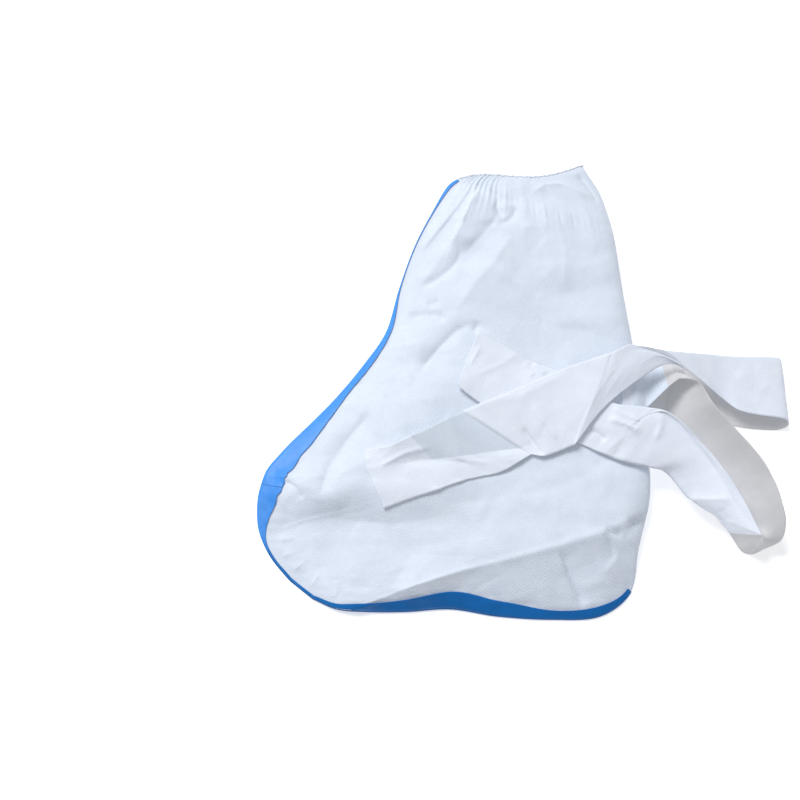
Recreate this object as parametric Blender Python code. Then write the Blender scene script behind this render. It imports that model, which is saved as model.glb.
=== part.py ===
"""A disposable boot cover lying on its side, with taped seams and two flat ties.

Metres, +Z up. The origin is on the resting surface, under the middle of the ankle.
+X runs from the toe towards the heel and +Y runs from the sole up the leg.
"""

import math
from collections import namedtuple

import bpy
from mathutils import Vector
from mathutils.bvhtree import BVHTree

# Driving dimensions
FOOT_LENGTH = 0.400        # toe to heel across the flat cloth
BOOT_HEIGHT = 0.500        # sole to leg opening
BODY_RISE = 0.036          # highest crown of the soft body above the table
CLOTH = 0.001              # wall of the non-woven cloth
SEAM_THICKNESS = 0.0026    # both layers at the seam, pressed together
BACK_ROUND = 0.026         # how far in from the back the folded edge rounds over
BACK_EDGE = 0.0036         # height of the face at the very edge of that fold
SHOULDER = 0.075           # how far in from a seam the cloth rises to its crown
FOLD_WIDTH = 0.030         # half width of a wide fold
TAPE_WIDTH = 0.020         # tape seen on each side of the seam
TAPE_THICKNESS = 0.0008
SEAM_MARGIN = 0.003        # flat cloth past the edge of the tape
HEM_LENGTH = 0.004         # elastic hem, along the leg
HEM_PROUD = 0.0006         # elastic hem, how far it stands out of the cloth
GATHER_HEIGHT = 0.0025     # gathers of the cloth at the elastic hem
GATHERS = 6
TIE_WIDTH = 0.065
TIE_THICKNESS = 0.001
GAP = 0.0003               # clearance between pieces that touch
DRAPE = 0.0025             # how loosely a tie lies on the cloth below it

# How finely the cloth is divided
STEPS_PER_SECTION = 2
CLOTH_COLUMNS = 13
TIE_STEPS = 3
TIE_COLUMNS = 5

# Height of the seam, which clears the table by the tape under it
SEAM_BOTTOM = TAPE_THICKNESS + GAP
SEAM_TOP = SEAM_BOTTOM + SEAM_THICKNESS
SEAM_BAND = TAPE_WIDTH + SEAM_MARGIN

# Sections of the flat boot, from the leg opening to the toe. Each runs from the shin
# seam to the back. x is a share of FOOT_LENGTH, y and dip of BOOT_HEIGHT, and rise of
# BODY_RISE. Dip is how far the middle of the section sags towards the foot. Edge says
# whether the section ends at the back in a fold or in the seam of the sole. Shin tape and
# back tape are the shares of TAPE_WIDTH that show on the upper side at its two ends. The
# tape of the shin and the tape of the sole meet at the shin end of one section.
Section = namedtuple("Section", "name shin_x shin_y back_x back_y rise dip shin_tape back_tape edge")
SECTIONS = (
    Section("opening", -0.094, 0.532, 0.262, 0.562, 0.50, 0.024, 0.15, 0, "fold"),
    Section("hem line", -0.102, 0.516, 0.272, 0.546, 0.52, 0.024, 0.18, 0, "fold"),
    Section("upper calf", -0.160, 0.460, 0.306, 0.486, 0.60, 0.014, 0.20, 0, "fold"),
    Section("calf", -0.218, 0.368, 0.330, 0.388, 0.66, 0.004, 0.16, 0, "fold"),
    Section("mid leg", -0.260, 0.262, 0.339, 0.294, 0.68, 0.0, 0.14, 0, "fold"),
    Section("lower leg", -0.300, 0.158, 0.348, 0.190, 0.74, 0.0, 0.15, 0, "fold"),
    Section("above ankle", -0.358, 0.082, 0.360, 0.084, 0.78, 0.0, 0.18, 0, "fold"),
    Section("ankle", -0.430, 0.006, 0.368, -0.020, 0.80, 0.0, 0.33, 0, "fold"),
    Section("instep", -0.500, -0.056, 0.372, -0.110, 0.82, 0.0, 0.65, 0, "fold"),
    Section("heel top", -0.548, -0.096, 0.368, -0.216, 0.84, 0.0, 0.82, 0, "fold"),
    Section("heel back", -0.582, -0.128, 0.330, -0.324, 0.84, 0.0, 0.95, 0, "fold"),
    Section("heel tip", -0.600, -0.146, 0.306, -0.404, 0.84, 0.0, 1.00, 0.50, "seam"),
    Section("heel", -0.611, -0.162, 0.225, -0.452, 0.84, 0.0, 1.00, 0.45, "seam"),
    Section("waist back", -0.620, -0.186, 0.105, -0.458, 0.82, 0.0, 0.95, 0.60, "seam"),
    Section("waist", -0.626, -0.210, -0.025, -0.452, 0.80, 0.0, 0.85, 1.00, "seam"),
    Section("ball", -0.627, -0.240, -0.140, -0.438, 0.78, 0.0, 0.70, 0.75, "seam"),
    Section("ball front", -0.622, -0.276, -0.250, -0.443, 0.74, 0.0, 0.35, 0.60, "seam"),
    Section("toe", -0.606, -0.310, -0.350, -0.443, 0.68, 0.0, 0.16, 0.40, "seam"),
    Section("toe front", -0.580, -0.344, -0.420, -0.438, 0.60, 0.0, 0.12, 0.20, "seam"),
    Section("toe end", -0.538, -0.382, -0.480, -0.418, 0.50, 0.0, 0.12, 0.12, "seam"),
)
TAPES_MEET = "waist back"

# Main folds of the upper side, each along a straight line. x is a share of
# FOOT_LENGTH, y of BOOT_HEIGHT, width of FOLD_WIDTH and rise of BODY_RISE.
Fold = namedtuple("Fold", "name from_x from_y to_x to_y width rise")
FOLDS = (
    Fold("sole ridge, toe half", -0.348, -0.430, 0.060, -0.336, 0.75, 0.24),
    Fold("sole ridge, heel half", 0.060, -0.336, 0.350, -0.250, 0.75, 0.24),
    Fold("heel hollow", 0.060, -0.404, 0.240, -0.380, 0.70, -0.16),
    Fold("heel crease, upper", 0.105, -0.330, 0.145, -0.376, 0.45, -0.14),
    Fold("heel crease, lower", 0.145, -0.376, 0.178, -0.442, 0.45, -0.14),
    Fold("heel crumple", 0.248, -0.310, 0.310, -0.340, 0.45, 0.10),
    Fold("back dent", 0.345, -0.266, 0.292, -0.292, 0.50, -0.14),
    Fold("toe ridge", -0.588, -0.326, -0.312, -0.236, 0.70, 0.18),
    Fold("toe hollow", -0.480, -0.350, -0.300, -0.330, 0.80, -0.10),
    Fold("toe wrinkle, upper", -0.552, -0.190, -0.515, -0.230, 0.40, -0.09),
    Fold("toe wrinkle, lower", -0.598, -0.292, -0.535, -0.320, 0.40, -0.09),
    Fold("shin valley", -0.200, -0.008, -0.390, -0.168, 0.80, -0.12),
    Fold("ankle fold", -0.062, 0.150, -0.170, 0.084, 0.60, -0.14),
    Fold("ankle valley", -0.118, 0.140, -0.212, -0.018, 0.60, -0.12),
    Fold("shin flap", -0.050, 0.516, -0.230, 0.318, 0.50, 0.12),
    Fold("flap valley", -0.012, 0.482, -0.115, 0.318, 0.50, -0.12),
    Fold("shin pleat", -0.110, 0.314, -0.218, 0.250, 0.50, -0.12),
    Fold("leg band", 0.108, 0.370, -0.060, 0.226, 0.80, 0.12),
)

# Routes of the ties along their middle. x is a share of FOOT_LENGTH, y of
# BOOT_HEIGHT and z of BODY_RISE. Heading and tilt, in degrees, say where the tie's
# width points: round from +X, and up from level. Lies says what carries the tie.
Station = namedtuple("Station", "name x y z heading tilt lies")
UPPER_TIE = (
    Station("seal", 0.205, 0.042, 0.0, 90, 0, "sealed"),
    Station("seal edge", 0.268, 0.042, 0.0, 90, 0, "sealed"),
    Station("back edge", 0.350, 0.038, 0.50, 90, 0, "boot"),
    Station("drop", 0.402, 0.038, 0.25, 90, 0, "air"),
    Station("table", 0.458, 0.032, 0.04, 90, 0, "table"),
    Station("table run", 0.545, 0.016, 0.02, 90, 0, "table"),
    Station("far run", 0.660, 0.000, 0.02, 90, 0, "table"),
    Station("turn in", 0.735, -0.006, 0.03, 90, 0, "table"),
    Station("turn", 0.756, 0.000, 0.20, 90, 0, "air"),
    Station("turn out", 0.728, 0.012, 0.36, 90, -2, "air"),
    Station("return", 0.652, 0.018, 0.42, 90, -6, "air"),
    Station("return lifts", 0.578, 0.038, 0.60, 90, -22, "air"),
    Station("rise", 0.508, 0.054, 1.04, 92, -32, "air"),
    Station("crest", 0.430, 0.062, 1.28, 95, -34, "air"),
    Station("over back edge", 0.350, 0.046, 1.28, 100, -15, "air"),
    Station("over ankle", 0.260, -0.004, 1.17, 108, -8, "air"),
    Station("across", 0.155, -0.044, 1.05, 110, 0, "tie"),
    Station("over tie", 0.038, -0.086, 1.00, 112, 0, "tie"),
    Station("past tie", -0.090, -0.126, 0.95, 114, 0, "tie"),
    Station("near end", -0.203, -0.164, 0.89, 117, 0, "boot"),
    Station("end", -0.325, -0.204, 0.86, 122, 0, "boot"),
)
UNDER_TIE = (
    Station("seal", 0.260, -0.116, 0.0, 98, 0, "below"),
    Station("seal edge", 0.315, -0.106, 0.0, 98, 0, "below"),
    Station("out", 0.392, -0.106, 0.04, 95, 0, "air"),
    Station("lift", 0.428, -0.100, 0.34, 95, 26, "air"),
    Station("stand", 0.452, -0.066, 0.58, 86, 44, "air"),
    Station("arch", 0.476, -0.046, 0.66, 68, 52, "air"),
    Station("loop out", 0.505, -0.070, 0.72, 46, 50, "air"),
    Station("loop side", 0.548, -0.130, 0.76, 32, 48, "air"),
    Station("loop far", 0.600, -0.206, 0.78, 28, 48, "air"),
    Station("loop low", 0.632, -0.268, 0.80, 12, 52, "air"),
    Station("bend in", 0.636, -0.304, 0.82, -12, 58, "air"),
    Station("bend", 0.610, -0.326, 0.84, -60, 64, "air"),
    Station("bend out", 0.570, -0.314, 0.88, -104, 80, "air"),
    Station("return", 0.540, -0.284, 0.92, -124, 108, "air"),
    Station("return runs", 0.496, -0.212, 0.92, -123, 138, "air"),
    Station("return nears", 0.435, -0.140, 0.92, -116, 158, "air"),
    Station("over edge", 0.365, -0.108, 0.94, -112, 172, "air"),
    Station("over heel", 0.280, -0.090, 0.94, -110, 180, "boot"),
    Station("under tie", 0.212, -0.072, 0.86, -115, 180, "boot"),
    Station("crossing", 0.120, -0.030, 0.83, -120, 180, "boot"),
    Station("past crossing", 0.015, 0.022, 0.83, -120, 180, "boot"),
    Station("end", -0.088, 0.074, 0.83, -120, 180, "boot"),
)

# Flat places in the cloth where a tie is sealed on. Shares as above.
Seal = namedtuple("Seal", "x y half_length height")
UPPER_SEAL = Seal(x=0.236, y=0.042, half_length=0.040, height=0.76)
UNDER_SEAL = Seal(x=0.288, y=-0.112, half_length=0.045, height=0.0)


def clear_scene():
    for old in list(bpy.data.objects):
        bpy.data.objects.remove(old, do_unlink=True)


def finish_material(name, colour, roughness):
    material = bpy.data.materials.new(name)
    material.use_nodes = True
    shader = material.node_tree.nodes["Principled BSDF"]
    shader.inputs["Base Color"].default_value = (*colour, 1.0)
    shader.inputs["Roughness"].default_value = roughness
    shader.inputs["Metallic"].default_value = 0.0
    return material


def add_object(name, vertices, faces, material, parent):
    mesh = bpy.data.meshes.new(name)
    mesh.from_pydata([tuple(v) for v in vertices], [], faces)
    mesh.update()
    mesh.shade_smooth()
    mesh.set_sharp_from_angle(angle=math.radians(40))
    mesh.materials.append(material)
    piece = bpy.data.objects.new(name, mesh)
    bpy.context.scene.collection.objects.link(piece)
    piece.parent = parent
    return piece


def smooth(value):
    """Ease from 0 to 1 as value goes from 0 to 1."""
    value = min(1.0, max(0.0, value))
    return value * value * (3 - 2 * value)


def mix(a, b, share):
    return a + (b - a) * share


def spline(values, position):
    """A smooth curve through values, read at a position counted in values."""
    last = len(values) - 1
    i = min(int(position), last - 1)
    t = position - i
    b, c = values[i], values[i + 1]
    a = values[i - 1] if i > 0 else 2 * b - c
    d = values[i + 2] if i + 2 <= last else 2 * c - b
    return 0.5 * (2 * b + (c - a) * t + (2 * a - 5 * b + 4 * c - d) * t ** 2
                  + (3 * b - a - 3 * c + d) * t ** 3)


def segment_distance(point, start, end):
    """Distance in plan from a point to a straight line."""
    run = end - start
    share = (point - start).dot(run) / max(run.length_squared, 1e-12)
    return (point - start - run * min(1.0, max(0.0, share))).length


def line_distance(point, line):
    return min(segment_distance(point, a, b) for a, b in zip(line, line[1:]))


class Outline:
    """The flat outline of the boot, as two edges read at the same positions."""

    def __init__(self):
        steps = (len(SECTIONS) - 1) * STEPS_PER_SECTION
        self.positions = [i / STEPS_PER_SECTION for i in range(steps + 1)]
        self.shin = [self.edge("shin_x", "shin_y", p) for p in self.positions]
        self.back = [self.edge("back_x", "back_y", p) for p in self.positions]
        self.heel = self.index(next(row.name for row in SECTIONS if row.edge == "seam"))
        self.seam = self.shin + self.back[:self.heel - 1:-1]
        shin_tape = [self.column("shin_tape", p) for p in self.positions]
        back_tape = [self.column("back_tape", p) for p in self.positions[self.heel:]]
        self.tape_shown = [TAPE_WIDTH * share for share in shin_tape + back_tape[::-1]]
        self.fold = self.back[:self.heel + 1]
        self.leg = (self.shin[0] - self.shin[1] + self.back[0] - self.back[1]).normalized()

    def column(self, name, position):
        return spline([getattr(row, name) for row in SECTIONS], position)

    def edge(self, x_name, y_name, position):
        return Vector((self.column(x_name, position) * FOOT_LENGTH,
                       self.column(y_name, position) * BOOT_HEIGHT))

    def index(self, section_name):
        names = [row.name for row in SECTIONS]
        return names.index(section_name) * STEPS_PER_SECTION

    def across(self, i, share):
        """The point in plan at a share of the way from the shin to the back."""
        point = self.shin[i].lerp(self.back[i], share)
        dip = self.column("dip", self.positions[i]) * BOOT_HEIGHT
        return point - self.leg * dip * 4 * share * (1 - share)

    def share_at(self, i, depth, line, from_back):
        """The share across at which the cloth lies this deep behind an edge."""
        low, high = 0.0, 0.5
        for _ in range(24):
            middle = (low + high) / 2
            share = 1 - middle if from_back else middle
            if line_distance(self.across(i, share), line) < depth:
                low = middle
            else:
                high = middle
        return 1 - high if from_back else high

    def columns(self, i):
        """Shares across one section, closer together at its two edges."""
        seam_depths = (SEAM_BAND, SEAM_BAND + 0.3 * BACK_ROUND)
        fold_depths = (0.12 * BACK_ROUND, 0.45 * BACK_ROUND)
        near = [self.share_at(i, d, self.seam, False) for d in seam_depths]
        if i < self.heel:
            far = [self.share_at(i, d, self.fold, True) for d in fold_depths]
        else:
            far = [self.share_at(i, d, self.seam, True) for d in seam_depths]
        near[0] = min(near[0], 0.40)
        near[1] = min(near[1], 0.44)
        far[0] = max(far[0], 0.60)
        far[1] = max(far[1], 0.56)
        inner = [mix(near[1], far[1], k / (CLOTH_COLUMNS + 1)) for k in range(1, CLOTH_COLUMNS + 1)]
        return [0.0, near[0], near[1], *inner, far[1], far[0], 1.0]


def seal_share(point, seal):
    """1 on a flat place where a tie is sealed, easing to 0 around it."""
    x = abs(point.x - seal.x * FOOT_LENGTH) / (seal.half_length * FOOT_LENGTH + 0.5 * TIE_WIDTH)
    y = abs(point.y - seal.y * BOOT_HEIGHT) / TIE_WIDTH
    return smooth(3 * (1.3 - max(x, y)))


def fold_rise(point):
    total = 0.0
    for fold in FOLDS:
        start = Vector((fold.from_x * FOOT_LENGTH, fold.from_y * BOOT_HEIGHT))
        end = Vector((fold.to_x * FOOT_LENGTH, fold.to_y * BOOT_HEIGHT))
        off = segment_distance(point, start, end) / (fold.width * FOLD_WIDTH)
        total += fold.rise * BODY_RISE * smooth(1 - off)
    return total


def cloth_heights(outline, i, share):
    """The heights of the lower and upper side of the body at one place."""
    point = outline.across(i, share)
    seam = line_distance(point, outline.seam)
    shoulder = min(1.0, max(0.0, (seam - SEAM_BAND) / SHOULDER))
    swell = 1 - (1 - shoulder) ** 2
    back = min(1.0, line_distance(point, outline.fold) / BACK_ROUND)
    round_over = math.sqrt(1 - (1 - back) ** 2)
    heel_ease = smooth(shoulder * 4)

    crown = outline.column("rise", outline.positions[i]) * BODY_RISE
    middle = mix((SEAM_BOTTOM + SEAM_TOP) / 2, 0.3 * crown, heel_ease)
    top = SEAM_TOP + (crown - SEAM_TOP) * swell + fold_rise(point) * smooth(shoulder * 2)
    bottom = mix(SEAM_BOTTOM, 0.0, heel_ease)

    from_rim = outline.positions[i] / 2
    gather = math.sin(2 * math.pi * GATHERS * share) * GATHER_HEIGHT
    top += gather * smooth(1 - from_rim) * swell
    bottom = max(bottom, (HEM_PROUD + GAP) * smooth(1 - from_rim))

    top = mix(top, UPPER_SEAL.height * BODY_RISE, seal_share(point, UPPER_SEAL))
    bottom = mix(bottom, TIE_THICKNESS + GAP, seal_share(point, UNDER_SEAL))
    top = mix(middle + BACK_EDGE / 2, top, round_over) if heel_ease > 0 else top
    bottom = mix(middle - BACK_EDGE / 2, bottom, round_over) if heel_ease > 0 else bottom
    return point, bottom, top


def body_loops(outline):
    """One closed loop of points for each section, over the top and back below."""
    loops = []
    for i in range(len(outline.positions)):
        upper, lower = [], []
        for share in outline.columns(i):
            point, bottom, top = cloth_heights(outline, i, share)
            upper.append(Vector((*point, top)))
            lower.append(Vector((*point, bottom)))
        loops.append(upper + lower[::-1])
    return loops


def tube_faces(rings, size):
    """Faces between rings of points that follow each other."""
    faces = []
    for i in range(rings - 1):
        for k in range(size):
            n = (k + 1) % size
            faces.append((i * size + k, (i + 1) * size + k, (i + 1) * size + n, i * size + n))
    return faces


def strip_cap(first, size, at_end):
    """Faces that close a flat ring, whose second half lies under its first."""
    half = size // 2
    faces = []
    for k in range(half - 1):
        under, next_under = size - 1 - k, size - 2 - k
        face = (first + k + 1, first + k, first + under, first + next_under)
        faces.append(face if at_end else face[::-1])
    return faces


def add_wall(piece, thickness):
    """Give a surface its wall, grown inwards."""
    wall = piece.modifiers.new("wall", "SOLIDIFY")
    wall.thickness = thickness
    wall.offset = -1.0
    wall.use_even_offset = False


def build_body(loops, material, parent):
    size = len(loops[0])
    vertices = [point for loop in loops for point in loop]
    faces = tube_faces(len(loops), size)
    faces += strip_cap((len(loops) - 1) * size, size, at_end=True)
    body = add_object("boot_body", vertices, faces, material, parent)
    add_wall(body, CLOTH)
    return BVHTree.FromPolygons(vertices, faces)


def build_hem(outline, loops, material, parent):
    """The elastic hem, a ring that carries on from the cloth at the leg opening."""
    rim = loops[0]
    size = len(rim)
    centre_heights = [(rim[k].z + rim[size - 1 - k].z) / 2 for k in range(size)]
    rings = []
    for along in (GAP + HEM_LENGTH, GAP + HEM_LENGTH / 2, GAP):
        ring = []
        for k, point in enumerate(rim):
            outward = 1 if point.z > centre_heights[k] else -1
            side = {0: -1, size - 1: -1, size // 2 - 1: 1, size // 2: 1}.get(k, 0)
            shift = Vector((*(outline.leg * along), outward * HEM_PROUD))
            shift.x += side * HEM_PROUD
            ring.append(point + shift)
        rings.append(ring)
    vertices = [point for ring in rings for point in ring]
    hem = add_object("elastic_hem", vertices, tube_faces(len(rings), size), material, parent)
    add_wall(hem, CLOTH + HEM_PROUD)


def seam_frames(line):
    """Each point of the seam, with the direction that points out of the boot there."""
    frames = []
    for i, point in enumerate(line):
        before = (point - line[max(0, i - 1)]).normalized()
        after = (line[min(len(line) - 1, i + 1)] - point).normalized()
        run = (before + after).normalized()
        widen = max(0.5, run.dot(after if i == 0 else before))
        frames.append((point, Vector((run.y, -run.x)) / widen))
    return frames


def build_tape(name, frames, widths, material, parent):
    """Tape folded over the seam, as a C-shaped section swept along the seam line."""
    out_low, out_high = GAP, GAP + TAPE_THICKNESS
    low = (0.0, TAPE_THICKNESS)
    high = (SEAM_TOP + GAP, SEAM_TOP + GAP + TAPE_THICKNESS)
    vertices = []
    for (point, outward), width in zip(frames, widths):
        section = ((-width, high[1]), (-width, high[0]), (out_low, high[0]), (out_low, low[1]),
                   (-TAPE_WIDTH, low[1]), (-TAPE_WIDTH, low[0]), (out_high, low[0]),
                   (out_high, high[1]))
        vertices += [Vector((*(point + outward * off), z)) for off, z in section]
    size = 8
    faces = tube_faces(len(frames), size)
    last = (len(frames) - 1) * size
    for ring, flip in ((0, False), (last, True)):
        for cap in ((0, 1, 2, 7), (2, 3, 6, 7), (3, 4, 5, 6)):
            face = tuple(ring + k for k in cap)
            faces.append(face[::-1] if flip else face)
    return add_object(name, vertices, faces, material, parent)


def resting_height(tree, point, reach):
    """Height of the cloth at and just around a place, or the table beside it."""
    height = 0.0
    for dx in (-reach, 0.0, reach):
        for dy in (-reach, 0.0, reach):
            start = Vector((point.x + dx, point.y + dy, 1.0))
            hit = tree.ray_cast(start, Vector((0.0, 0.0, -1.0)))
            if hit[0]:
                height = max(height, hit[0].z)
    return height


def station_height(tree, station_weights, point, lift):
    """Height of the middle of a tie at one place across it."""
    half = TIE_THICKNESS / 2
    sealed, below, boot, over_tie = (station_weights[k] for k in ("sealed", "below", "boot", "tie"))
    on_cloth = resting_height(tree, point, 0.12 * TIE_WIDTH) + half + DRAPE
    heights = {
        "sealed": UPPER_SEAL.height * BODY_RISE + GAP + half,
        "below": half,
        "boot": on_cloth,
        "tie": on_cloth + TIE_THICKNESS + DRAPE,
        "table": half,
        "air": lift,
    }
    height = sum(heights[kind] * weight for kind, weight in station_weights.items())
    if sealed + below == 0.0:
        height = max(height, on_cloth if boot + over_tie > 0 else half)
    return max(height, half)


def build_tie(name, rows, tree, material, parent):
    """A flat tie, as a strip of cloth swept along its stations."""
    kinds = ("sealed", "below", "boot", "tie", "table", "air")
    steps = (len(rows) - 1) * TIE_STEPS
    middles, strips = [], []
    for step in range(steps + 1):
        position = step / TIE_STEPS
        row = min(int(position), len(rows) - 2)
        share = smooth(position - row)
        weights = {kind: 0.0 for kind in kinds}
        weights[rows[row].lies] += 1 - share
        weights[rows[row + 1].lies] += share
        read = {key: spline([getattr(r, key) for r in rows], position)
                for key in ("x", "y", "z", "heading", "tilt")}
        middle = Vector((read["x"] * FOOT_LENGTH, read["y"] * BOOT_HEIGHT, read["z"] * BODY_RISE))
        heading, tilt = math.radians(read["heading"]), math.radians(read["tilt"])
        across = Vector((math.cos(tilt) * math.cos(heading), math.cos(tilt) * math.sin(heading),
                         math.sin(tilt)))
        strip = []
        for k in range(TIE_COLUMNS):
            place = middle + across * TIE_WIDTH * (k / (TIE_COLUMNS - 1) - 0.5)
            place.z = station_height(tree, weights, place, place.z)
            strip.append(place)
        middles.append(middle)
        strips.append(strip)

    vertices = []
    for i, strip in enumerate(strips):
        before, after = strips[max(0, i - 1)], strips[min(steps, i + 1)]
        upper, lower = [], []
        for k, place in enumerate(strip):
            run = after[k] - before[k]
            across = strip[min(TIE_COLUMNS - 1, k + 1)] - strip[max(0, k - 1)]
            normal = run.cross(across).normalized() * TIE_THICKNESS / 2
            upper.append(place + normal)
            lower.append(place - normal)
        vertices += upper + lower[::-1]
    size = 2 * TIE_COLUMNS
    faces = tube_faces(len(strips), size)
    faces += strip_cap(0, size, at_end=False)
    faces += strip_cap((len(strips) - 1) * size, size, at_end=True)
    return add_object(name, vertices, faces, material, parent)


def build_boot_cover():
    clear_scene()
    white = finish_material("nonwoven_white", (0.86, 0.89, 0.95), 0.75)
    blue = finish_material("seam_tape_blue", (0.05, 0.30, 0.78), 0.40)
    elastic = finish_material("elastic_hem_white", (0.84, 0.87, 0.93), 0.80)
    tie_cloth = finish_material("tie_white", (0.88, 0.89, 0.93), 0.75)

    root = bpy.data.objects.new("boot_cover", None)
    bpy.context.scene.collection.objects.link(root)

    outline = Outline()
    loops = body_loops(outline)
    tree = build_body(loops, white, root)
    build_hem(outline, loops, elastic, root)

    meet = outline.index(TAPES_MEET)
    frames = seam_frames(outline.seam)
    meeting, outward = frames[meet]
    past_meeting = meeting + (frames[meet + 1][0] - meeting).normalized() * 2 * GAP
    build_tape("shin_tape", frames[1:meet + 1], outline.tape_shown[1:meet + 1], blue, root)
    build_tape("sole_tape", [(past_meeting, outward), *frames[meet + 1:]],
               outline.tape_shown[meet:], blue, root)

    build_tie("upper_tie", UPPER_TIE, tree, tie_cloth, root)
    build_tie("under_tie", UNDER_TIE, tree, tie_cloth, root)


build_boot_cover()
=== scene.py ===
"""The finished look of a disposable boot cover that lies on its side.

The white non-woven body, its blue seam tape, its gathered elastic hem and its two flat
ties are modelled as thin cloth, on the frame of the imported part. The model is in metres
and +Z is up. The tables are in millimetres.
"""

import math
from collections import namedtuple

import bpy
import numpy as np
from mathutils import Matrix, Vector
from mathutils.bvhtree import BVHTree
from mathutils.geometry import delaunay_2d_cdt


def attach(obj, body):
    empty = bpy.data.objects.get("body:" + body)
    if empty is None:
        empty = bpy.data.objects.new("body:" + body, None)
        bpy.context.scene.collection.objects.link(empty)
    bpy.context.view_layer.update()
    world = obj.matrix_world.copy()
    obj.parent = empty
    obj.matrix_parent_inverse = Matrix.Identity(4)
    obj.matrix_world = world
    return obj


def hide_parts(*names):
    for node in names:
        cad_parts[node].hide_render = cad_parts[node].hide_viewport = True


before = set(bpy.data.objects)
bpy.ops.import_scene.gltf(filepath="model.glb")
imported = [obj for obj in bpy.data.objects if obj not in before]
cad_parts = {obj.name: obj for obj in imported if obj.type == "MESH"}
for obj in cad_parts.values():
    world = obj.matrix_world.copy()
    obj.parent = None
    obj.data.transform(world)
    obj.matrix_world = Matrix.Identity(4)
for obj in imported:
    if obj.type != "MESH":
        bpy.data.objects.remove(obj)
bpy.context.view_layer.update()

MM = 0.001

# Cloth, tape and ties
CLOTH_WALL = 0.35 * MM
LEAST_HOLLOW = 0.04 * MM  # half of the gap inside, where the boot is flat
LEAST_THICKNESS = 0.25 * MM
SEAM_HEIGHT = 1.5 * MM
TABLE_CLEARANCE = 0.5 * MM
LEAST_HEIGHT = 0.30 * MM  # of the tape and the ties below the boot
TAPE_WIDTH = 20 * MM
WIDEST_UNDER = 30 * MM  # the most that the tape reaches in below the boot
TAPE_LIFT = 0.3 * MM
TAPE_WALL = 0.25 * MM
TAPE_EDGE = 0.7 * MM
FIRST_TAPE_STATION = 2
HEM_RADIUS = 0.9 * MM
HEM_STRETCH = 1.5  # how much wider the bead is along the leg than up
LEAST_HEM_HEIGHT = 1.4 * HEM_RADIUS + 0.1 * MM
TIE_WIDTH = 65 * MM
TIE_WALL = 0.3 * MM
DRAPE = 1.0 * MM
SEAL_DEPTH = 0.7 * DRAPE  # how much lower a tie lies where it is sealed on
CARRIED_ABOVE = 9 * MM  # a tie above this height keeps clear of the cloth below
LONGEST_TANGENT = 1.2  # of a tie's curve, counted in steps between rungs

# Light: a broad soft light from the back left, over an even white surround
WORLD_LIGHT = 0.61
SKY_LOW = (0.14, 0.145, 0.155)
SKY_HIGH = (0.93, 0.96, 1.0)
KEY_LIGHT = 2.8
KEY_SOFTNESS = 30
KEY_FROM = (-0.42, 0.56, 0.72)
FLOOR_GLOW = 0.42
FLOOR_HALF = 8.0
FLOOR_DROP = 0.2 * MM

# Camera: it looks down over the sole, and its target puts the boot right of the middle
CAMERA_ELEVATION = 70
CAMERA_DISTANCE = 1.05
CAMERA_TARGET = (-0.106, 0.0, 0.0)
CAMERA_HALF_VIEW = 22.0
SENSOR = 36.0

# Cloths: their light and dark tones, and a faint even glow painted into each, which stands in for light
# through the thin layer and lifts its shade
Cloth = namedtuple("Cloth", "light dark roughness grain through")
BODY_CLOTH = Cloth((0.615, 0.670, 0.760), (0.555, 0.615, 0.715), 0.62, 0.4, 0.09)
HEM_CLOTH = Cloth((0.76, 0.80, 0.87), (0.66, 0.71, 0.80), 0.70, 0.4, 0.09)
TIE_CLOTH = Cloth((0.655, 0.695, 0.775), (0.595, 0.64, 0.735), 0.60, 0.3, 0.11)
# Darker copies of the tie cloth as painted shade: the first for deep shade, with a stronger painted glow
# that lifts it, the second for lighter shade
TIE_DEEP_SHADE = Cloth((0.44, 0.433, 0.44), (0.40, 0.398, 0.41), 0.60, 0.3, 0.17)
TIE_SHADED = Cloth((0.53, 0.59, 0.675), (0.48, 0.54, 0.63), 0.60, 0.3, 0.11)
PAINTED_GLOW = (0.93, 0.96, 1.0)

# Colours of the seam tape: its own bright blue, and a darker blue painted along the sole as shade, and
# where in y the one turns into the other
BRIGHT_BLUE = (0.050, 0.274, 0.78)
SOLE_SHADE_BLUE = (0.002, 0.142, 0.46)
BRIGHT_UNTIL = -146 * MM
SHADE_FROM = -164 * MM

# Ribs pressed into the sole: how close, and the plan line y = slope x - line they keep below
Ribs = namedtuple("Ribs", "scale slope line starts")
SOLE_RIBS = Ribs(125, 0.3185, 170.2 * MM, -60 * MM)

# How finely the cloth is divided
STEPS_PER_SECTION = 15
COLUMNS = 156
INNER_EVERY = 5
TIE_STEP = 1.8 * MM
TIE_COLUMNS = 33
TIP_STEPS = 14
TAPE_COLUMNS_ABOVE = 18
TAPE_COLUMNS_BELOW = 6
HEM_SIDES = 8
CROWDING = 0.45  # how much closer the columns lie near the edges
ABOVE_ALL = 1.0  # where rays start that look down for a height

# Unevenness of the cloth, which the seeds make the same each time. Scatter is how far the
# corners of facets stray from even places.
BODY_SEED, UNDER_SEED, UPPER_SEED = 11, 3, 4
BODY_CREASES = 140
TIE_CREASES = 70
SCATTER = 0.45
Waves = namedtuple("Waves", "height count shortest longest")
BROAD_WAVES = Waves(0.7, 7, 60, 150)
FINE_WAVES = Waves(0.05, 9, 8, 20)
UNDER_WAVES = Waves(0.35, 5, 40, 90)
SEAM_PUCKERS = Waves(0.5, 6, 9, 22)
TIE_WAVES = Waves(0.3, 7, 25, 90)
Facets = namedtuple("Facets", "spacing height")
BROAD_FACETS = Facets(40, 1.25)
FINE_FACETS = Facets(17, 0.3)
TIE_FACETS = Facets(30, 0.7)
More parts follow.
